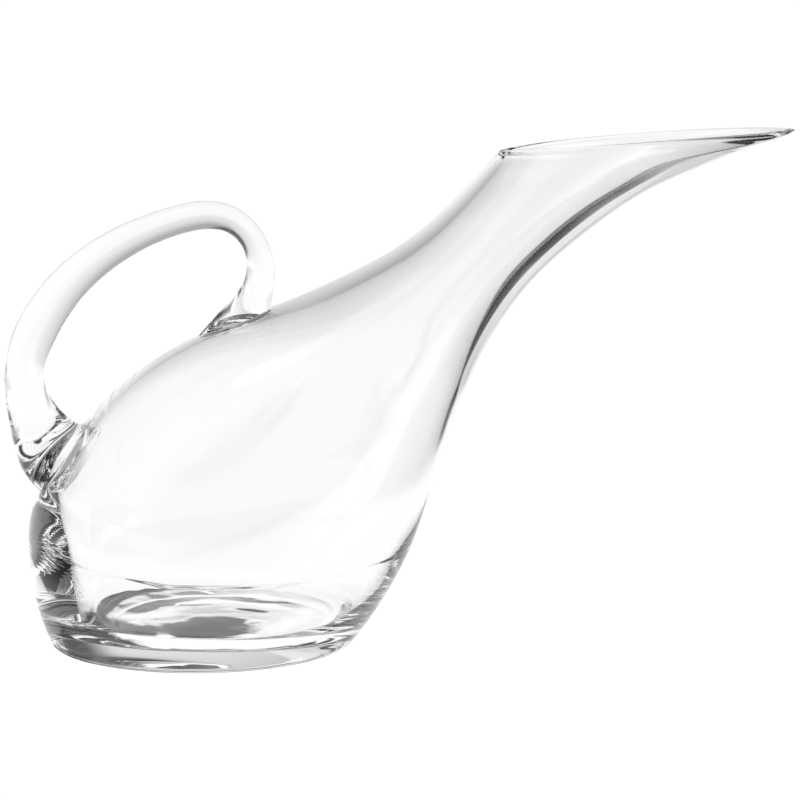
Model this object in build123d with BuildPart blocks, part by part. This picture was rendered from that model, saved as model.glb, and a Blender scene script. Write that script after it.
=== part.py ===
"""Blown-glass wine decanter with a long beaked mouth and an applied loop handle.

Millimetres, +Z up. The origin is the middle of the resting ring, and +X points the way the wine pours.
The vessel is one blown bubble: a leaning, egg-shaped body that draws into a neck and ends in a long,
nearly level mouth. The handle is one pulled gather of solid glass, welded to the vessel at both ends.
"""

import math
import os

from build123d import *

# ---------------------------------------------------------------- driving dimensions

# Cross-sections of the vessel, from the resting face up to the rim. Each is an ellipse on a plane square to
# XZ. A row holds the section's back end (x, z), its front end (x, z), its half width in Y, and the glass
# thickness measured along the section itself, at the back, the front and the sides.
VESSEL_SECTIONS = [
    # back (x, z)     front (x, z)    half   back, front, side thickness
    ((-62.6, 0.0), (62.6, 0.0), 58.8, (17.5, 12.0, 12.0)),
    ((-67.1, 11.5), (71.6, 11.5), 62.9, (16.2, 8.0, 8.2)),
    ((-70.1, 23.0), (78.9, 23.0), 65.8, (14.8, 5.6, 6.0)),
    ((-71.9, 36.0), (85.9, 36.0), 67.6, (13.2, 4.6, 4.8)),
    ((-71.8, 49.5), (90.8, 47.8), 68.1, (11.0, 3.4, 4.2)),
    ((-68.9, 62.0), (94.3, 58.5), 67.4, (8.6, 2.8, 3.9)),
    ((-60.5, 75.2), (97.5, 69.1), 65.5, (6.8, 2.7, 3.7)),
    ((-51.0, 89.7), (100.3, 78.8), 62.5, (5.8, 2.8, 3.6)),
    ((-38.9, 103.9), (103.6, 89.0), 58.4, (5.1, 3.0, 3.5)),
    ((-22.5, 117.3), (107.3, 99.6), 53.5, (4.9, 3.3, 3.5)),
    ((-3.0, 128.8), (111.8, 109.9), 48.0, (5.6, 3.7, 3.5)),
    ((18.0, 137.5), (116.5, 120.4), 42.2, (6.9, 4.4, 3.6)),
    ((40.0, 145.8), (122.3, 131.3), 36.5, (7.8, 5.2, 3.7)),
    ((61.3, 155.6), (129.8, 142.7), 31.2, (7.8, 6.0, 3.8)),
    ((80.5, 165.9), (139.1, 154.2), 26.9, (6.9, 6.6, 3.8)),
    ((96.0, 177.5), (151.3, 166.0), 24.0, (6.1, 7.0, 3.7)),
    ((107.8, 189.0), (166.9, 178.5), 22.5, (5.7, 7.6, 3.4)),
    ((116.2, 197.6), (188.2, 192.3), 22.2, (5.5, 8.6, 3.1)),
    ((120.9, 203.0), (212.2, 202.8), 22.6, (5.2, 9.8, 2.8)),
    ((123.4, 205.4), (236.1, 211.4), 23.2, (4.9, 10.0, 2.5)),
    ((124.3, 206.4), (246.0, 215.1), 23.5, (4.6, 8.8, 2.3)),
    ((124.7, 207.4), (246.7, 216.9), 23.7, (4.4, 3.4, 2.2)),
]
BASE_ROUNDING = 2.6  # the outer wall's small turn under the body
FLOOR_Z = 9.5  # top of the thick glass floor, at its edge
FLOOR_ROUNDING = 8.0  # between the inner wall and the floor
FLOOR_DOME_HEIGHT = 2.6  # the floor swells in the middle, over the punt
FLOOR_DOME_RADIUS = 40.0
FLOOR_DOME_X = 5.0
PUNT_DEPTH = 3.6  # the shallow hollow under the base
PUNT_RADIUS = 51.0
LIP_ROUNDING = 0.8  # fire-polished edges of the mouth

# The handle from its lower weld to its upper one: the centre (x, z) of each elliptical section, the
# direction in degrees above +X in which the glass runs there, its width in the XZ plane and its width in Y.
HANDLE_SECTIONS = [
    # centre (x, z)   runs    in XZ  in Y
    ((-55.6, 79.0), 147.0, 36.5, 46.0),
    ((-62.3, 83.2), 129.0, 30.6, 29.0),
    ((-66.6, 90.6), 116.5, 25.0, 20.0),
    ((-70.2, 98.8), 108.0, 20.2, 17.6),
    ((-72.5, 107.6), 97.0, 17.2, 17.0),
    ((-72.6, 117.0), 82.0, 16.2, 16.6),
    ((-69.2, 128.6), 67.0, 17.2, 16.6),
    ((-62.4, 141.0), 54.5, 17.0, 16.4),
    ((-51.8, 154.0), 46.0, 15.9, 15.8),
    ((-39.1, 164.4), 34.0, 14.6, 14.8),
    ((-25.0, 172.4), 25.5, 13.2, 13.8),
    ((-9.2, 178.3), 16.0, 12.1, 13.0),
    ((5.5, 180.7), -5.0, 11.8, 12.4),
    ((14.6, 178.4), -32.0, 11.0, 12.0),
    ((21.6, 172.2), -54.0, 10.4, 11.8),
    ((25.4, 163.8), -79.0, 11.0, 11.8),
    ((25.8, 155.0), -95.0, 12.4, 12.6),
    ((24.1, 148.5), -98.5, 14.2, 14.0),
    ((20.9, 142.4), -99.0, 17.6, 16.0),
    ((17.6, 138.2), -85.0, 23.0, 19.0),
    ((14.2, 133.4), -76.0, 30.0, 22.0),
]


def section_plane(back, front):
    """The plane of a vessel section, with its x from the back end to the front end and its y along +Y."""
    run, rise = front[0] - back[0], front[1] - back[1]
    centre = ((back[0] + front[0]) / 2, 0, (back[1] + front[1]) / 2)
    return Plane(origin=centre, x_dir=(run, 0, rise), z_dir=(-rise, 0, run))


def handle_plane(centre, degrees):
    """The plane across the handle, with its x in XZ and its y along Y."""
    run, rise = math.cos(math.radians(degrees)), math.sin(math.radians(degrees))
    return Plane(origin=(centre[0], 0, centre[1]), x_dir=(-rise, 0, run), z_dir=(run, 0, rise))


def moved_towards(start, end, distance):
    """The point at this distance from start on the way to end, both (x, z)."""
    share = distance / math.dist(start, end)
    return (start[0] + (end[0] - start[0]) * share, start[1] + (end[1] - start[1]) * share)


def inner_ring(back, front, half, thickness):
    """A section's inner ellipse, as (back, front, half width)."""
    at_back, at_front, at_sides = thickness
    return (moved_towards(back, front, at_back), moved_towards(front, back, at_front), half - at_sides)


def cap_sphere_radius(height, radius):
    """The sphere whose cap has this height over a circle of this radius."""
    return (radius**2 + height**2) / (2 * height)


# ---------------------------------------------------------------- the glass bubble, outside and inside
with BuildPart() as outer_form:
    for back, front, half, _ in VESSEL_SECTIONS:
        with BuildSketch(section_plane(back, front)):
            Ellipse(math.dist(back, front) / 2, half)
    loft()
    fillet(outer_form.faces().sort_by(Axis.Z)[0].edges(), BASE_ROUNDING)

with BuildPart() as hollow:
    for row in VESSEL_SECTIONS:
        back, front, half = inner_ring(*row)
        with BuildSketch(section_plane(back, front)):
            Ellipse(math.dist(back, front) / 2, half)
    loft()
    split(bisect_by=Plane.XY.offset(FLOOR_Z), keep=Keep.TOP)
    fillet(hollow.faces().sort_by(Axis.Z)[0].edges(), FLOOR_ROUNDING)
    dome_sphere = cap_sphere_radius(FLOOR_DOME_HEIGHT, FLOOR_DOME_RADIUS)
    with Locations((FLOOR_DOME_X, 0, FLOOR_Z + FLOOR_DOME_HEIGHT - dome_sphere)):
        Sphere(dome_sphere, mode=Mode.SUBTRACT)

# ---------------------------------------------------------------- vessel
with BuildPart() as vessel:
    add(outer_form.part)
    add(hollow.part, mode=Mode.SUBTRACT)
    punt_sphere = cap_sphere_radius(PUNT_DEPTH, PUNT_RADIUS)
    with Locations((0, 0, PUNT_DEPTH - punt_sphere)):
        Sphere(punt_sphere, mode=Mode.SUBTRACT)
    fillet(vessel.faces().sort_by(Axis.Z)[-1].edges(), LIP_ROUNDING)

vessel.part.label = "vessel"

# ---------------------------------------------------------------- handle, its ends cut to the vessel's wall
with BuildPart() as handle:
    for centre, degrees, in_xz, in_y in HANDLE_SECTIONS:
        with BuildSketch(handle_plane(centre, degrees)):
            Ellipse(in_xz / 2, in_y / 2)
    loft()
    add(outer_form.part, mode=Mode.SUBTRACT)

handle.part.label = "handle"

os.makedirs("parts", exist_ok=True)
export_step(vessel.part, "parts/vessel.step")
export_step(handle.part, "parts/handle.step")

print("vessel glass", round(vessel.part.volume), "mm3, box", vessel.part.bounding_box())
print("hollow to the rim", round(hollow.part.volume), "mm3")
print("handle glass", round(handle.part.volume), "mm3, solids", len(handle.part.solids()))
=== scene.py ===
"""Looks for the blown-glass wine decanter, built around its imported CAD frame.

The vessel and the handle are remade as smooth glass meshes from the same sections that the CAD model has,
with the details that a lofted solid lacks: a fire-polished lip, the hand-worked waves in the glass, an uneven
punt and floor, and the gather's edge inside the body.
"""

import math

import bmesh
import bpy
import numpy as np
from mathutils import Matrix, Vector, noise


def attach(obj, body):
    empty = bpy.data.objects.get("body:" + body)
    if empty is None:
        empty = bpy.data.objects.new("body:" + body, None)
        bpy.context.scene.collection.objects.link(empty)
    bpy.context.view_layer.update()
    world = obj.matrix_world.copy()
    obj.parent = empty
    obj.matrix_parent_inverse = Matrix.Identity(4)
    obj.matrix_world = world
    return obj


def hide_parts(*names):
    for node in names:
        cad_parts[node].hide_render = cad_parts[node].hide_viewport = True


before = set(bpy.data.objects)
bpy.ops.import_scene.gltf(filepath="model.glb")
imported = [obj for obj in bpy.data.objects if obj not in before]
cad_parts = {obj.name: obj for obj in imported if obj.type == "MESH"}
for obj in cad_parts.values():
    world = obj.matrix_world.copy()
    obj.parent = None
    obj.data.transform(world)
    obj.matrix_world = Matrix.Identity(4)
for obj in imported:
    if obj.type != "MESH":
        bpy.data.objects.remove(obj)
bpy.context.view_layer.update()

MM = 0.001

# ---------------------------------------------------------------- driving dimensions, in millimetres

# Vessel sections from the resting face to the rim: back end (x, z), front end (x, z), half width in Y, and the
# glass thickness along the section at the back, the front and the sides.
VESSEL_SECTIONS = [
    ((-62.6, 0.0), (62.6, 0.0), 58.8, (17.5, 12.0, 12.0)),
    ((-67.1, 11.5), (71.6, 11.5), 62.9, (16.2, 8.0, 8.2)),
    ((-70.1, 23.0), (78.9, 23.0), 65.8, (14.8, 5.6, 6.0)),
    ((-71.9, 36.0), (85.9, 36.0), 67.6, (13.2, 4.6, 4.8)),
    ((-71.8, 49.5), (90.8, 47.8), 68.1, (11.0, 3.4, 4.2)),
    ((-68.9, 62.0), (94.3, 58.5), 67.4, (8.6, 2.8, 3.9)),
    ((-60.5, 75.2), (97.5, 69.1), 65.5, (6.8, 2.7, 3.7)),
    ((-51.0, 89.7), (100.3, 78.8), 62.5, (5.8, 2.8, 3.6)),
    ((-38.9, 103.9), (103.6, 89.0), 58.4, (5.1, 3.0, 3.5)),
    ((-22.5, 117.3), (107.3, 99.6), 53.5, (4.9, 3.3, 3.5)),
    ((-3.0, 128.8), (111.8, 109.9), 48.0, (5.6, 3.7, 3.5)),
    ((18.0, 137.5), (116.5, 120.4), 42.2, (6.9, 4.4, 3.6)),
    ((40.0, 145.8), (122.3, 131.3), 36.5, (7.8, 5.2, 3.7)),
    ((61.3, 155.6), (129.8, 142.7), 31.2, (7.8, 6.0, 3.8)),
    ((80.5, 165.9), (139.1, 154.2), 26.9, (6.9, 6.6, 3.8)),
    ((96.0, 177.5), (151.3, 166.0), 24.0, (6.1, 7.0, 3.7)),
    ((107.8, 189.0), (166.9, 178.5), 22.5, (5.7, 7.6, 3.4)),
    ((116.2, 197.6), (188.2, 192.3), 22.2, (5.5, 8.6, 3.1)),
    ((120.9, 203.0), (212.2, 202.8), 22.6, (5.2, 9.8, 2.8)),
    ((123.4, 205.4), (236.1, 211.4), 23.2, (4.9, 10.0, 2.5)),
    ((124.3, 206.4), (246.0, 215.1), 23.5, (4.6, 8.8, 2.3)),
    ((124.7, 207.4), (246.7, 216.9), 23.7, (4.4, 3.4, 2.2)),
]
BASE_ROUNDING = 2.6
FLOOR_Z = 9.5
FLOOR_ROUNDING = 8.0
FLOOR_DOME_HEIGHT = 2.6
FLOOR_DOME_RADIUS = 40.0
FLOOR_DOME_X = 5.0
PUNT_DEPTH = 3.6
PUNT_RADIUS = 51.0
RIM_ARCH = 0.9  # how far the sides of the rim rise above its two ends
LIP_CROWN = 0.55  # height of the rounded lip over half its width
RIM_ARCH_FROM = 0.86  # the arch comes in above this share of the wall's length
LIP_ROOM = 0.9  # the wall ends this far below the rim, and the lip rises from there
LIP_HALF = 1.3  # the lip is no higher than it would be at this half width
WAVE_LENGTH, WAVE_DEPTH = 34.0, 0.08  # slow waves in the wall's thickness
RIPPLE_LENGTH, RIPPLE_DEPTH = 11.0, 0.008  # finer ones
GATHER_EDGE_Z = 37.0  # where the second gather of glass ends, inside the body, at the sides
GATHER_EDGE_RISE = 6.5  # and how much higher it is at the front and the back
GATHER_BAND = (34.5, 46.5)  # the heights between which the edge stays
GATHER_RINGS = 32  # extra rings in that band
GATHER_EDGE_WIDTH = 1.6  # the height over which the wall thickens
GATHER_STEP = 0.13  # how much thicker it is below the edge
RAGGED_LENGTH, FINE_RAGGED_LENGTH, FINE_RAGGED_SHARE = 13.0, 4.5, 0.4  # how the edge wanders up and down
EVEN_BACK = (-56.0, -30.0)  # the thick back of the wall is even up to here, and as wavy as the rest from here
ABOVE_FLOOR = 9.0  # the waves fade out over this height down to the floor's corner
PUNT_LUMPS, FLOOR_LUMPS = 0.55, 0.30  # how uneven the two are
LUMP_LENGTH, FINE_LUMP_LENGTH, FINE_LUMP_SHARE = 19.0, 6.0, 0.22

# Handle sections from the lower weld to the upper one: centre (x, z), the direction in which the glass runs in
# degrees above +X, its width in XZ, its width in Y, and how much it narrows towards the inside of the loop.
HANDLE_SECTIONS = [
    ((-55.6, 79.0), 147.0, 36.5, 46.0, 0.00),
    ((-62.3, 83.2), 129.0, 30.6, 29.0, 0.00),
    ((-66.6, 90.6), 116.5, 25.0, 20.0, 0.00),
    ((-70.2, 98.8), 108.0, 20.2, 17.6, 0.00),
    ((-72.5, 107.6), 97.0, 17.2, 17.0, 0.00),
    ((-72.6, 117.0), 82.0, 16.2, 16.6, 0.00),
    ((-69.2, 128.6), 67.0, 17.2, 16.6, 0.00),
    ((-62.4, 141.0), 54.5, 17.0, 16.4, 0.00),
    ((-51.8, 154.0), 46.0, 15.9, 15.8, 0.00),
    ((-39.1, 164.4), 34.0, 14.6, 14.8, 0.00),
    ((-25.0, 172.4), 25.5, 13.2, 13.8, 0.00),
    ((-9.2, 178.3), 16.0, 12.1, 13.0, 0.00),
    ((5.5, 180.7), -5.0, 11.8, 12.4, 0.00),
    ((14.6, 178.4), -32.0, 11.0, 12.0, 0.00),
    ((21.6, 172.2), -54.0, 10.4, 11.8, 0.00),
    ((25.4, 163.8), -79.0, 11.0, 11.8, 0.00),
    ((25.8, 155.0), -95.0, 12.4, 12.6, 0.00),
    ((24.1, 148.5), -98.5, 14.2, 14.0, 0.08),
    ((20.9, 142.4), -99.0, 17.6, 16.0, 0.28),
    ((17.6, 138.2), -85.0, 23.0, 19.0, 0.55),
    ((14.2, 133.4), -76.0, 30.0, 22.0, 0.68),
]

AROUND = 192  # quads round the vessel
WALL_RINGS = 190
LOW_RINGS = 60  # this many of the wall's rings cover the floor and the gather's edge
HANDLE_AROUND = 56
HANDLE_RINGS = 170
MERGE = 2e-6  # metres: closer points become one where pieces of a mesh are joined

# ---------------------------------------------------------------- camera
CAMERA_AT = (0.0837, -1.400, 0.335)
CAMERA_PITCH = 9.406  # degrees below level
CAMERA_LENS = 153.1

camera_data = bpy.data.cameras.new("camera")
camera_data.lens = CAMERA_LENS
camera_data.sensor_width = 36
camera = bpy.data.objects.new("camera", camera_data)
camera.location = CAMERA_AT
camera.rotation_euler = (math.radians(90 - CAMERA_PITCH), 0, 0)
bpy.context.scene.collection.objects.link(camera)
bpy.context.scene.camera = camera


# ---------------------------------------------------------------- curves
def share_of(value, low, high):
    """How far value is from low to high, held between 0 and 1."""
    return min(1.0, max(0.0, (value - low) / (high - low)))


def spline(knots, rows, at):
    """A natural cubic spline through rows at knots, read at each value of at, column by column."""
    knots, rows, at = np.asarray(knots, float), np.asarray(rows, float), np.asarray(at, float)
    step = np.diff(knots)
    slope = np.diff(rows, axis=0) / step[:, None]
    count = len(knots)
    matrix = np.eye(count)
    right = np.zeros_like(rows)
    for i in range(1, count - 1):
        matrix[i, i - 1 : i + 2] = step[i - 1], 2 * (step[i - 1] + step[i]), step[i]
        right[i] = 6 * (slope[i] - slope[i - 1])
    bend = np.linalg.solve(matrix, right)
    cell = np.clip(np.searchsorted(knots, at) - 1, 0, count - 2)
    low, high, width = (at - knots[cell])[:, None], (knots[cell + 1] - at)[:, None], step[cell][:, None]
    return (
        (bend[cell] * high**3 + bend[cell + 1] * low**3) / (6 * width)
        + (rows[cell] / width - bend[cell] * width / 6) * high
        + (rows[cell + 1] / width - bend[cell + 1] * width / 6) * low
    )


def chord_knots(points):
    """How far along the polyline each of its points is."""
    lengths = np.linalg.norm(np.diff(np.asarray(points, float), axis=0), axis=1)
    return np.concatenate([[0], np.cumsum(lengths)])


def smoothed(rows, passes):
    """rows with small kinks evened out, its first and last rows kept."""
    rows = rows.copy()
    for _ in range(passes):
        rows[1:-1] = (rows[:-2] + 2 * rows[1:-1] + rows[2:]) / 4
    return rows


# ---------------------------------------------------------------- vessel
def section_rows():
    """Each section's back x and z, front x and z, half width and three thicknesses, and how far along it is."""
    rows = np.array([(*back, *front, half, *walls) for back, front, half, walls in VESSEL_SECTIONS])
    return rows, (chord_knots(rows[:, :2]) + chord_knots(rows[:, 2:4])) / 2


def vessel_channels():
    """The sections' values in dense even steps, from the resting face to just under the lip."""
    rows, knots = section_rows()
    return smoothed(spline(knots, rows, np.linspace(0, knots[-1] - LIP_ROOM, WALL_RINGS)), 6)


def ring(back, front, half, angles):
    """An ellipse on a plane square to XZ, as points (x, y, z). Angle 0 is its front end."""
    centre = (np.asarray(back) + np.asarray(front)) / 2
    reach = (np.asarray(front) - np.asarray(back)) / 2
    x = centre[0] + reach[0] * np.cos(angles)
    z = centre[1] + reach[1] * np.cos(angles)
    return np.stack([x, half * np.sin(angles), z], axis=1)


def level_ring(centre_x, half_x, half_y, z, angles):
    return ring((centre_x - half_x, z), (centre_x + half_x, z), half_y, angles)


def towards(start, end, distance):
    start, end = np.asarray(start), np.asarray(end)
    return start + (end - start) * distance / np.linalg.norm(end - start)


def arch_rim(points, row, angles, share):
    """Raises the sides of a ring near the rim, square to its section."""
    run, rise = row[2] - row[0], row[3] - row[1]
    normal = np.array([-rise, 0, run]) / math.hypot(run, rise)
    return points + normal * (RIM_ARCH * share * np.sin(angles) ** 2)[:, None]


def at_height(channels, z):
    """The channels of the section at height z, which has to be low down, where sections are level."""
    low = channels[:LOW_RINGS]
    return np.array([np.interp(z, low[:, 1], column) for column in low.T])


def lumpy(points, depth, seed, share):
    """Raises and lowers a level ring's points a little, as tools left them, but never below the table."""
    for point in points:
        broad = noise.noise(Vector((point[0], point[1], seed)) / LUMP_LENGTH)
        fine = noise.noise(Vector((point[0] * 0.5, point[1], seed + 9)) / FINE_LUMP_LENGTH)
        point[2] = max(0.0, point[2] + depth * share * (broad + FINE_LUMP_SHARE * fine))
    return points


def inner_rows(channels, near_rim):
    """The channels and the shares near the rim, with closer rows where the gather's edge crosses."""
    steps = np.arange(len(channels), dtype=float)
    low, high = (np.interp(z, channels[:LOW_RINGS, 1], steps[:LOW_RINGS]) for z in GATHER_BAND)
    steps = np.union1d(steps, np.linspace(low, high, GATHER_RINGS))
    grid = np.arange(len(channels))
    dense = np.stack([np.interp(steps, grid, column) for column in channels.T], axis=1)
    return dense, np.interp(steps, grid, near_rim)


def hand_made(points, middle, angles, share):
    """Moves an inner ring's points in or out a little, as the glass was worked by hand. The gather's edge is on
    the -Y side only, deepest in its middle."""
    moved = points.copy()
    floor_corner = FLOOR_Z + FLOOR_ROUNDING
    for i, (x, y, z) in enumerate(points):
        wave = noise.noise(Vector((x, y, z * 0.6)) / WAVE_LENGTH) * WAVE_DEPTH
        ripple = noise.noise(Vector((x, y + 50, z * 0.35)) / RIPPLE_LENGTH) * RIPPLE_DEPTH
        ragged = noise.noise(Vector((x, y, 7)) / RAGGED_LENGTH)
        ragged += FINE_RAGGED_SHARE * noise.noise(Vector((x, y, 30)) / FINE_RAGGED_LENGTH)
        edge = GATHER_EDGE_Z + GATHER_EDGE_RISE * math.cos(angles[i]) ** 2 + ragged
        below = share_of(edge - z, -GATHER_EDGE_WIDTH / 2, GATHER_EDGE_WIDTH / 2)
        near_side = math.sqrt(max(0.0, -math.sin(angles[i])))
        step = GATHER_STEP * near_side * below * below * (3 - 2 * below)
        inward = np.array([middle[0] - x, -y, 0.0])
        inward /= np.linalg.norm(inward)
        uneven = share_of(x, *EVEN_BACK) * share_of(z, floor_corner, floor_corner + ABOVE_FLOOR)
        moved[i] += inward * (wave + ripple + step) * share * uneven
    return moved


def vessel_rings():
    """The vessel's surface as rings from the middle of the punt, up the outside, over the lip, and down the
    inside to the middle of the floor, with the number of the first ring of the lip."""
    angles = np.linspace(0, 2 * math.pi, AROUND, endpoint=False)
    channels = vessel_channels()
    rings = []
    # the punt, its edge and the resting ring
    base = at_height(channels, 0.0)
    foot_x, foot_y = (base[2] - base[0]) / 2 - BASE_ROUNDING, base[4] - BASE_ROUNDING
    for t in np.linspace(0.06, 1, 16):
        height = PUNT_DEPTH * (0.5 + 0.5 * math.cos(math.pi * t))
        points = level_ring(0, PUNT_RADIUS * t, PUNT_RADIUS * t, height, angles)
        rings.append(lumpy(points, PUNT_LUMPS, 3.0, math.sin(math.pi * t) ** 0.5))
    for t in (0.33, 0.67):
        half_x = PUNT_RADIUS + (foot_x - PUNT_RADIUS) * t
        half_y = PUNT_RADIUS + (foot_y - PUNT_RADIUS) * t
        rings.append(level_ring(0, half_x, half_y, 0, angles))
    for turn in np.linspace(90, 15, 6):
        z = BASE_ROUNDING * (1 - math.sin(math.radians(turn)))
        inset = BASE_ROUNDING * (1 - math.cos(math.radians(turn)))
        row = at_height(channels, z)
        rings.append(ring((row[0] + inset, z), (row[2] - inset, z), row[4] - inset, angles))
    # the outer wall
    tops = np.linspace(0, 1, WALL_RINGS)
    near_rim = np.clip((tops - RIM_ARCH_FROM) / (1 - RIM_ARCH_FROM), 0, 1) ** 2
    for row, share in zip(channels, near_rim):
        if row[1] >= BASE_ROUNDING:
            points = ring(row[0:2], row[2:4], row[4], angles)
            rings.append(arch_rim(points, row, angles, share))
    # the inner wall, from the rim down
    inner = []
    for row, share in zip(*inner_rows(channels, near_rim)):
        if row[1] < FLOOR_Z + FLOOR_ROUNDING:
            continue
        back, front = towards(row[0:2], row[2:4], row[5]), towards(row[2:4], row[0:2], row[6])
        points = arch_rim(ring(back, front, row[4] - row[7], angles), row, angles, share)
        inner.append(hand_made(points, (back + front) / 2, angles, 1 - share))
    # the lip
    outer_rim, inner_rim = rings[-1], inner[-1]
    run, rise = channels[-1][2] - channels[-1][0], channels[-1][3] - channels[-1][1]
    normal = np.array([-rise, 0, run]) / math.hypot(run, rise)
    middle, reach = (outer_rim + inner_rim) / 2, (outer_rim - inner_rim) / 2
    crown = np.minimum(np.linalg.norm(reach, axis=1), LIP_HALF)[:, None] * LIP_CROWN
    lip_start = len(rings)
    for turn in np.radians(np.linspace(0, 180, 9)[1:-1]):
        rings.append(middle + reach * math.cos(turn) + normal * crown * math.sin(turn))
    rings.extend(reversed(inner))
    # the corner of the floor, and the floor
    for turn in np.radians(np.linspace(0, 90, 10)):
        z = FLOOR_Z + FLOOR_ROUNDING * (1 - math.sin(turn))
        inset = FLOOR_ROUNDING * (1 - math.cos(turn))
        row = at_height(channels, z)
        back, front = row[0] + row[5] + inset, row[2] - row[6] - inset
        half = row[4] - row[7] - inset
        rings.append(ring((back, z), (front, z), half, angles))
    for t in np.linspace(0.95, 0.05, 18):
        shift = FLOOR_DOME_X + ((back + front) / 2 - FLOOR_DOME_X) * t
        reach_x = (front - back) / 2 * t
        dome = FLOOR_DOME_HEIGHT * (0.5 + 0.5 * math.cos(math.pi * min(1, reach_x / FLOOR_DOME_RADIUS)))
        points = level_ring(shift, reach_x, half * t, FLOOR_Z + dome, angles)
        rings.append(lumpy(points, FLOOR_LUMPS, 21.0, math.sin(math.pi * t) ** 0.5))
    return rings, lip_start


def closed_mesh(name, rings, start_cap, end_cap):
    """A mesh of quads between rings, closed by a fan at each end. The caps are the fans' middle points."""
    count = len(rings[0])
    points = np.concatenate([[start_cap], *rings, [end_cap]]) * MM
    faces = []
    for i in range(count):
        faces.append((0, 1 + (i + 1) % count, 1 + i))
    for r in range(len(rings) - 1):
        a, b = 1 + r * count, 1 + (r + 1) * count
        for i in range(count):
            j = (i + 1) % count
            faces.append((a + i, a + j, b + j, b + i))
    last, end = 1 + (len(rings) - 1) * count, len(points) - 1
    for i in range(count):
        faces.append((last + i, last + (i + 1) % count, end))
    mesh = bpy.data.meshes.new(name)
    mesh.from_pydata(points.tolist(), [], faces)
    mesh.update()
    return mesh


def link(name, mesh):
    thing = bpy.data.objects.new(name, mesh)
    bpy.context.scene.collection.objects.link(thing)
    return thing


# ---------------------------------------------------------------- handle
def handle_rings():
    """The handle's surface as rings from the lower weld to the upper one, and the sections in as many steps."""
    angles = np.linspace(0, 2 * math.pi, HANDLE_AROUND, endpoint=False)
    rows = np.array([(*centre, *rest) for centre, *rest in HANDLE_SECTIONS])
    knots = chord_knots(rows[:, :2])
    rows = smoothed(spline(knots, rows, np.linspace(0, knots[-1], HANDLE_RINGS)), 4)
    rings = []
    inside = ((1 - np.cos(angles)) / 2) ** 1.5
    for x, z, runs, in_xz, in_y, thin_inside in rows:
        run, rise = math.cos(math.radians(runs)), math.sin(math.radians(runs))
        across = in_xz / 2 * np.cos(angles)
        half = in_y / 2 * (1 - thin_inside * inside)
        points = [x - rise * across, -half * np.sin(angles), z + run * across]
        rings.append(np.stack(points, axis=1))
    return rings, rows


# ---------------------------------------------------------------- the weld
# The handle is cut to the wall, and the wall under each foot becomes a face of its own, the same on both
# pieces. Those faces are clear to light, as hot glass joins with no gap left in it.
WALL, ROD, FACING = 0, 1, 2  # material numbers: the vessel's glass, the handle's, and the face between them
RIM_CAP = 3  # shuts the outer wall while it is cut, and then goes


def numbered(mesh, number):
    """The mesh with room for every material number, all its faces having this one."""
    for _ in range(4):
        mesh.materials.append(None)
    mesh.polygons.foreach_set("material_index", [number] * len(mesh.polygons))
    return mesh


def combined(first, second, operation):
    """The exact union or difference of two closed meshes, each face with the number that it had."""
    body, tool = link("combined", first), link("tool", second)
    modifier = body.modifiers.new("combine", "BOOLEAN")
    modifier.operation = operation
    modifier.solver = "EXACT"
    modifier.object = tool
    shaped = body.evaluated_get(bpy.context.evaluated_depsgraph_get())
    result = bpy.data.meshes.new_from_object(shaped)
    for scratch in (body, tool):
        bpy.data.objects.remove(scratch)
    return result


def kept_faces(mesh, keep, flip=False):
    """A bmesh with only the faces that have one of the numbers in keep."""
    bm = bmesh.new()
    bm.from_mesh(mesh)
    bmesh.ops.delete(bm, geom=[f for f in bm.faces if f.material_index not in keep], context="FACES")
    if flip:
        bmesh.ops.reverse_faces(bm, faces=bm.faces)
    return bm


def numbered_faces(bm, old, new):
    for face in bm.faces:
        if face.material_index == old:
            face.material_index = new


def joined(name, parts):
    """One mesh of several bmeshes, their shared edges merged and creased where two numbers meet."""
    whole = bmesh.new()
    for part in parts:
        scratch = bpy.data.meshes.new("part")
        part.to_mesh(scratch)
        whole.from_mesh(scratch)
        part.free()
        bpy.data.meshes.remove(scratch)
    bmesh.ops.remove_doubles(whole, verts=whole.verts, dist=MERGE)
    bmesh.ops.triangulate(whole, faces=[f for f in whole.faces if len(f.verts) > 4])
    for face in whole.faces:
        face.smooth = True
    for edge in whole.edges:
        numbers = {face.material_index for face in edge.link_faces}
        edge.smooth = len(numbers) < 2
    mesh = bpy.data.meshes.new(name)
    whole.to_mesh(mesh)
    whole.free()
    return mesh


rings, lip_start = vessel_rings()
top_middle = rings[lip_start - 1].mean(axis=0)
outside = numbered(closed_mesh("outside", rings[:lip_start], (0, 0, PUNT_DEPTH), top_middle), WALL)
floor_middle = (FLOOR_DOME_X, 0, FLOOR_Z + FLOOR_DOME_HEIGHT)
inside = numbered(closed_mesh("inside", rings[lip_start - 1 :], top_middle, floor_middle), WALL)
fans = *outside.polygons[len(outside.polygons) - AROUND :], *inside.polygons[:AROUND]
for polygon in fans:
    polygon.material_index = RIM_CAP

tube, tube_rows = handle_rings()
ends = [(row[0], 0, row[1]) for row in (tube_rows[0], tube_rows[-1])]
rod = numbered(closed_mesh("rod", tube, *ends), ROD)

both = combined(outside, rod, "UNION")
cut_rod = combined(rod, outside, "DIFFERENCE")
open_wall = kept_faces(both, {WALL})
feet = kept_faces(cut_rod, {WALL}, flip=True)
numbered_faces(feet, WALL, FACING)
vessel_mesh = joined("vessel_glass", [open_wall, feet, kept_faces(inside, {WALL})])
handle = kept_faces(cut_rod, {WALL, ROD})
numbered_faces(handle, WALL, FACING)
handle_mesh = joined("handle_glass", [handle])
for scratch in (outside, inside, rod, both, cut_rod):
    bpy.data.meshes.remove(scratch)
vessel_piece = link("vessel_glass", vessel_mesh)
handle_piece = link("handle_glass", handle_mesh)


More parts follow.
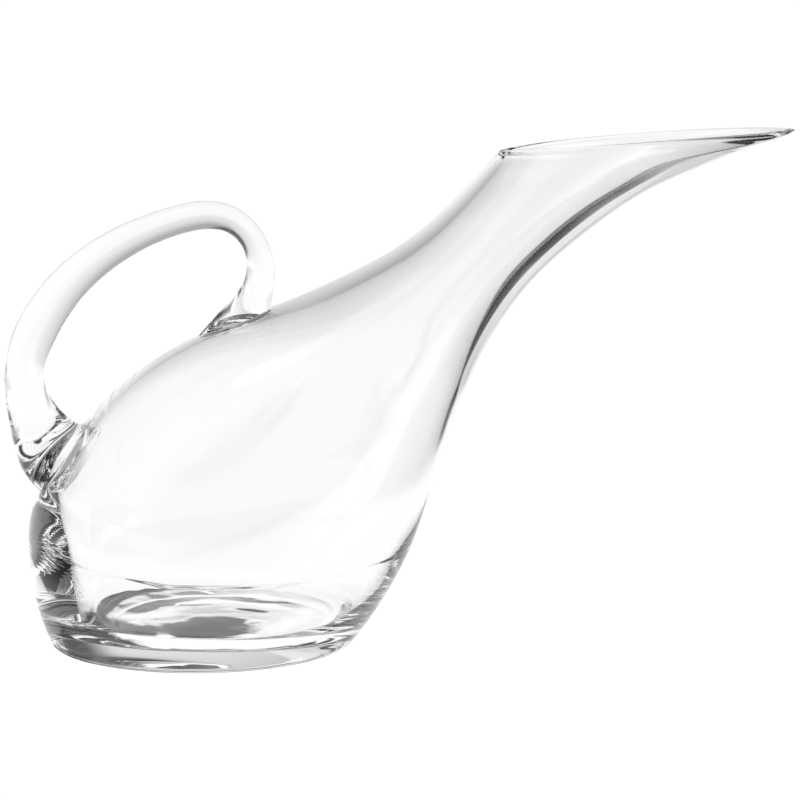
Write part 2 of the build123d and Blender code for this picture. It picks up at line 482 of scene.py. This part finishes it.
# ---------------------------------------------------------------- materials
class Nodes:
    """A node tree that is built from the shader back, one call for each node."""

    def __init__(self, tree):
        self.nodes, self.links = tree.nodes, tree.links
        self.nodes.clear()

    def add(self, kind, inputs=(), **settings):
        """A node of this kind, its inputs set by name or number to a value or to another node's socket."""
        node = self.nodes.new(kind)
        for name, value in settings.items():
            setattr(node, name, value)
        for name, value in dict(inputs).items():
            if isinstance(value, bpy.types.NodeSocket):
                self.links.new(value, node.inputs[name])
            else:
                node.inputs[name].default_value = value
        return node

    def math(self, operation, *values, clamp=False):
        node = self.add("ShaderNodeMath", enumerate(values), operation=operation, use_clamp=clamp)
        return node.outputs[0]

    def ramp(self, source, stops, easing="EASE"):
        """A value that follows stops, (position, value) pairs, as source goes from 0 to 1."""
        node = self.add("ShaderNodeValToRGB", {0: source})
        node.color_ramp.interpolation = easing
        elements = node.color_ramp.elements
        while len(elements) < len(stops):
            elements.new(0.5)
        for element, (position, value) in zip(elements, stops):
            element.position = position
            element.color = (value, value, value, 1)
        return node.outputs[0]

    def between(self, source, low, high):
        """0 below low, 1 above high, and smooth between the two."""
        node = self.add("ShaderNodeMapRange", {0: source, 1: low, 2: high}, interpolation_type="SMOOTHSTEP")
        return node.outputs[0]

    def output(self, kind, ray, others, these):
        """Ends the tree with one shader for this kind of ray and another for all other rays."""
        by_ray = {0: self.add("ShaderNodeLightPath").outputs[ray], 1: others.outputs[0], 2: these.outputs[0]}
        self.add(kind, {0: self.add("ShaderNodeMixShader", by_ray).outputs[0]})


def new_material(name):
    """A new material, and its node tree to be built."""
    material = bpy.data.materials.new(name)
    material.use_nodes = True
    return material, Nodes(material.node_tree)


def clear_glass(name):
    """Clear glass. It throws no shadow, as its light on the table and the shade under it are painted into the
    table's material.
    """
    material, tree = new_material(name)
    look = {"Base Color": (1, 1, 1, 1), "Roughness": 0.0, "IOR": 1.5, "Transmission Weight": 1.0}
    glass = tree.add("ShaderNodeBsdfPrincipled", look)
    tree.output("ShaderNodeOutputMaterial", "Is Shadow Ray", glass, tree.add("ShaderNodeBsdfTransparent"))
    return material


def fused_face():
    """The face where the two pieces are one glass: light goes straight through it."""
    material, tree = new_material("weld_face")
    tree.add("ShaderNodeOutputMaterial", {0: tree.add("ShaderNodeBsdfTransparent").outputs[0]})
    return material


vessel_glass, handle_glass, weld_face = clear_glass("vessel_glass"), clear_glass("handle_glass"), fused_face()
for piece in (vessel_piece, handle_piece):
    for material in (vessel_glass, handle_glass, weld_face):
        piece.data.materials.append(material)

# ---------------------------------------------------------------- stage
# The studio is a white table before a white wall, as for bright-field photographs of glass. What the camera
# sees directly is plain white. What it sees by way of the glass has the dark edges that give glass its lines:
# a dim ceiling, an unlit room in front of the table, and patches of painted shade on the table beside the
# object.
WALL_SEEN = 1.03  # how bright the wall looks to the camera
TABLE_SEEN, TABLE_GREY = 0.97, 0.3  # the light it gives off to the camera, and its colour in other light
WALL_WHITE = 1.0  # how bright the wall looks by way of the glass
TABLE_WHITE = 1.04  # and the table
FLOOR_SIZE = 30.0
FLOOR_DROP = 0.0003  # metres, so that the resting ring and the floor are never one plane
TABLE_FRONT = (-0.75, -0.25)  # along Y, where the table's light fades out to painted shade and where it is all white
# patches of painted shade in the table's light, seen only by way of the glass; the camera sees the table plain
# white there
DARK_PATCHES = [
    # middle (x, y), half size (x, y), soft edge, darkness
    ((0.45, 0.10), (0.195, 0.20), 0.028, 1.0),
    ((0.55, 0.30), (0.28, 0.36), 0.12, 0.30),
    ((-0.30, -0.02), (0.12, 0.14), 0.04, 0.6),
]
ROOM_FRONT = [(0.08, 0.05), (0.30, 1.0)]  # the wall's share of white from -Y (0) to +Y (1)
RIGHT_FLANK = (0.80, 0.99, 0.8)  # where +X darkens, as a share of the direction, and by how much
CEILING = [  # the share of white from straight down (0) to straight up (1)
    (0.50, 0.84),
    (0.53, 0.80),
    (0.58, 0.70),
    (0.63, 0.58),
    (0.68, 0.48),
    (0.73, 0.40),
    (0.85, 0.38),
    (0.98, 0.08),
]
WINDOW_AT = (-0.33, -0.20, 0.92)  # the way to a soft window, which lights the shoulder
WINDOW_EDGES = (0.985, 0.999)  # where it starts and is full, as cosines of the angle to that way
WINDOW_STRENGTH = 1.1
FLAG_AT = (0.587, 0.492, 0.643)  # the way to a soft dark flag, high on the right
FLAG_EDGES = (0.72, 0.85)
FLAG_DARKNESS = 0.85
FAR_TABLE = (0.6, 3.0, 0.14)  # along Y, where the table gets a little dimmer with painted shade, and by how much
UNDER_BASE = [
    # painted shadow, where hardly any light reaches the table under the base: middle (x, y) and half size (x,
    # y)
    ((0.003, -0.014), (0.023, 0.030)),
    ((-0.045, -0.024), (0.036, 0.021)),
]
UNDER_BASE_EDGES = (0.72, 1.05)
# how dark the painted shadow under the base is
UNDER_BASE_DARKNESS = 0.94
UNDER_BASE_NOISE = {"Scale": 75.0, "Detail": 3.0, "Distortion": 0.6}
UNDER_BASE_RAGGED = 0.9  # how ragged the noise makes the patches' edges
CAUSTIC = (0.062, 0.15)  # painted caustics: how far out glass throws bright lines under itself, and how bright they are
CAUSTIC_EDGES = (0.40, 0.62)  # the noise's values at the lines' edges


def dark_patch_shade(tree, x, y, dark_patch):
    """What a patch of painted shade leaves of the table's white."""
    (middle_x, middle_y), (half_x, half_y), soft, darkness = dark_patch
    off_x = tree.math("ABSOLUTE", tree.math("SUBTRACT", x, middle_x))
    off_y = tree.math("ABSOLUTE", tree.math("SUBTRACT", y, middle_y))
    out_x = tree.between(off_x, half_x - soft, half_x + soft)
    out_y = tree.between(off_y, half_y - soft, half_y + soft)
    return tree.math("MULTIPLY_ADD", tree.math("MAXIMUM", out_x, out_y), darkness, 1 - darkness)


def under_base_shade(tree, position):
    """The painted shadow patches on the table under the base, and the painted caustic lines that glass throws
    round them.
    """
    rough = tree.add("ShaderNodeTexNoise", {"Vector": position, **UNDER_BASE_NOISE})
    wobble = tree.math("MULTIPLY_ADD", rough.outputs[0], UNDER_BASE_RAGGED, -UNDER_BASE_RAGGED / 2)
    clear = None
    for (middle_x, middle_y), (half_x, half_y) in UNDER_BASE:
        off = tree.add("ShaderNodeVectorMath", {0: position, 1: (middle_x, middle_y, 0)}, operation="SUBTRACT")
        scaled = {0: off.outputs[0], 1: (1 / half_x, 1 / half_y, 0)}
        scaled = tree.add("ShaderNodeVectorMath", scaled, operation="MULTIPLY")
        out = tree.add("ShaderNodeVectorMath", {0: scaled.outputs[0]}, operation="LENGTH").outputs["Value"]
        outside_patch = tree.between(tree.math("ADD", out, wobble), *UNDER_BASE_EDGES)
        clear = outside_patch if clear is None else tree.math("MULTIPLY", clear, outside_patch)
    from_middle = tree.add("ShaderNodeVectorMath", {0: position}, operation="LENGTH").outputs["Value"]
    reach, brightness = CAUSTIC
    near = tree.math("SUBTRACT", 1.0, tree.between(from_middle, reach * 0.6, reach))
    lines = tree.between(rough.outputs[0], *CAUSTIC_EDGES)
    glow = tree.math("MULTIPLY", tree.math("MULTIPLY", near, lines), brightness)
    dim = tree.math("MULTIPLY_ADD", clear, UNDER_BASE_DARKNESS, 1 - UNDER_BASE_DARKNESS)
    return tree.math("MULTIPLY", dim, tree.math("ADD", glow, 1.0))


def make_floor():
    """The table's top. Its own light depends on the place on it, as the patches of painted shade and the
    painted shadow under the base lie there.
    """
    mesh = bpy.data.meshes.new("floor")
    reach, level = FLOOR_SIZE / 2, -FLOOR_DROP
    corners = [(-reach, -reach, level), (reach, -reach, level), (reach, reach, level), (-reach, reach, level)]
    mesh.from_pydata(corners, [], [(0, 1, 2, 3)])
    link("floor", mesh)
    paper, tree = new_material("floor")
    position = tree.add("ShaderNodeNewGeometry").outputs["Position"]
    place = tree.add("ShaderNodeSeparateXYZ", {0: position})
    x, y = place.outputs["X"], place.outputs["Y"]
    # painted shade in the table's light as the glass sees it: dimmer far back, fading out at the front, dark
    # under the patches and the base
    far_from, far_to, far_dark = FAR_TABLE
    shade = tree.math("MULTIPLY_ADD", tree.between(y, far_from, far_to), -far_dark, 1.0)
    shade = tree.math("MULTIPLY", shade, tree.between(y, *TABLE_FRONT))
    for dark_patch in DARK_PATCHES:
        shade = tree.math("MULTIPLY", shade, dark_patch_shade(tree, x, y, dark_patch))
    shade = tree.math("MULTIPLY", shade, under_base_shade(tree, position))
    seen_by_glass = tree.add("ShaderNodeEmission", {0: shade, 1: TABLE_WHITE})
    seen_straight = tree.add(
        "ShaderNodeBsdfPrincipled",
        {
            "Base Color": (TABLE_GREY, TABLE_GREY, TABLE_GREY, 1),
            "Roughness": 0.9,
            "Specular IOR Level": 0.1,
            "Emission Color": (1, 1, 1, 1),
            "Emission Strength": TABLE_SEEN,
        },
    )
    tree.output("ShaderNodeOutputMaterial", "Is Camera Ray", seen_by_glass, seen_straight)
    mesh.materials.append(paper)


def round_patch(tree, direction, middle, edges):
    """1 in a round patch of the studio, the way to whose middle is given, and 0 outside it."""
    way = {0: direction, 1: Vector(middle).normalized()}
    facing = tree.add("ShaderNodeVectorMath", way, operation="DOT_PRODUCT")
    return tree.between(facing.outputs["Value"], *edges)


def make_world():
    """The studio's walls and ceiling."""
    world = bpy.data.worlds.new("studio")
    bpy.context.scene.world = world
    world.use_nodes = True
    tree = Nodes(world.node_tree)
    generated = tree.add("ShaderNodeTexCoord").outputs["Generated"]
    direction = tree.add("ShaderNodeSeparateXYZ", {0: generated})
    across = tree.math("MULTIPLY_ADD", direction.outputs["Y"], 0.5, 0.5)
    upward = tree.math("MULTIPLY_ADD", direction.outputs["Z"], 0.5, 0.5)
    shade = tree.math("MULTIPLY", tree.ramp(across, ROOM_FRONT), tree.ramp(upward, CEILING, "LINEAR"))
    flank_from, flank_to, flank_dark = RIGHT_FLANK
    flank = tree.between(direction.outputs["X"], flank_from, flank_to)
    shade = tree.math("MULTIPLY", shade, tree.math("MULTIPLY_ADD", flank, -flank_dark, 1.0))
    window = round_patch(tree, generated, WINDOW_AT, WINDOW_EDGES)
    flag = round_patch(tree, generated, FLAG_AT, FLAG_EDGES)
    shade = tree.math("MULTIPLY", shade, tree.math("MULTIPLY_ADD", flag, -FLAG_DARKNESS, 1.0))
    shade = tree.math("MULTIPLY_ADD", window, WINDOW_STRENGTH, shade)
    seen_by_glass = tree.add("ShaderNodeBackground", {0: shade, 1: WALL_WHITE})
    seen_straight = tree.add("ShaderNodeBackground", {0: (1, 1, 1, 1), 1: WALL_SEEN})
    tree.output("ShaderNodeOutputWorld", "Is Camera Ray", seen_by_glass, seen_straight)


make_floor()
make_world()
scene = bpy.context.scene
scene.view_settings.view_transform = "Standard"
scene.cycles.max_bounces = 48
scene.cycles.transmission_bounces = 48
scene.cycles.glossy_bounces = 24
scene.cycles.transparent_max_bounces = 32

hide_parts("vessel")
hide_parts("handle")
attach(vessel_piece, "root")
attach(handle_piece, "root")
